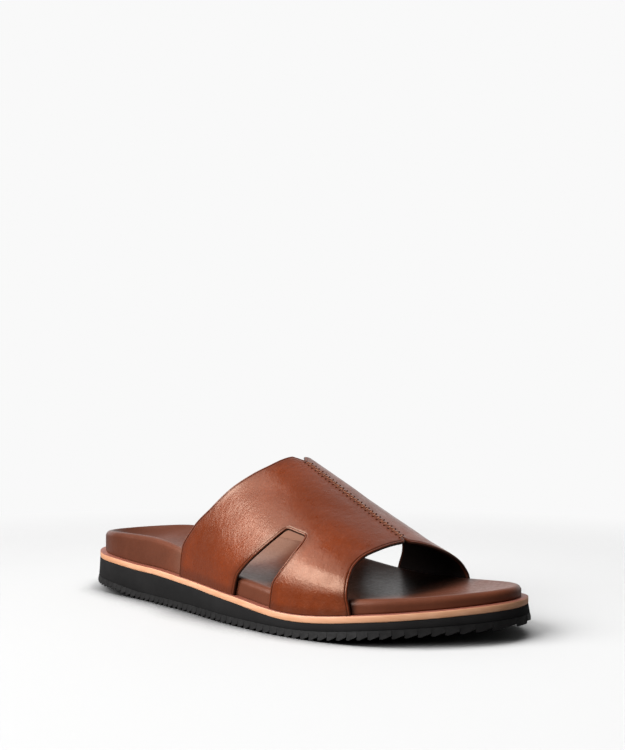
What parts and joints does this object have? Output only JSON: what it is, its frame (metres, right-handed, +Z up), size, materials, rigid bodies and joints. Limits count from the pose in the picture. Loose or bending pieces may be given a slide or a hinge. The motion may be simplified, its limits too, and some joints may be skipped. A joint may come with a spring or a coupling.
{
  "type": "leather slide sandal",
  "caption": "Backless leather slide sandal for the right foot: split-strap upper with a centre seam and side cut-outs, cupped footbed, wedge midsole, ripple outsole.",
  "frame": {"origin": "on the floor, under the middle of the sole's bounding box", "axes": "+X from heel to toe, +Y to the inner (medial) side of the foot, +Z up"},
  "size_m": [0.2935, 0.1095, 0.0838],
  "materials": {
    "outsole_rubber": "matt dark grey rubber with a saw-tooth tread",
    "midsole_foam": "matt black foam rubber, fine pores",
    "welt_leather": "natural tan cut-edge leather, lightly waxed",
    "footbed_leather": "soft cocoa-brown leather, low sheen",
    "upper_leather": "burnished cognac-brown smooth leather, satin"
  },
  "bodies": {
    "root": {"outsole": "outsole_rubber", "wedge_midsole": "midsole_foam", "welt_layer": "welt_leather", "footbed": "footbed_leather", "upper": "upper_leather"}
  },
  "joints": []
}
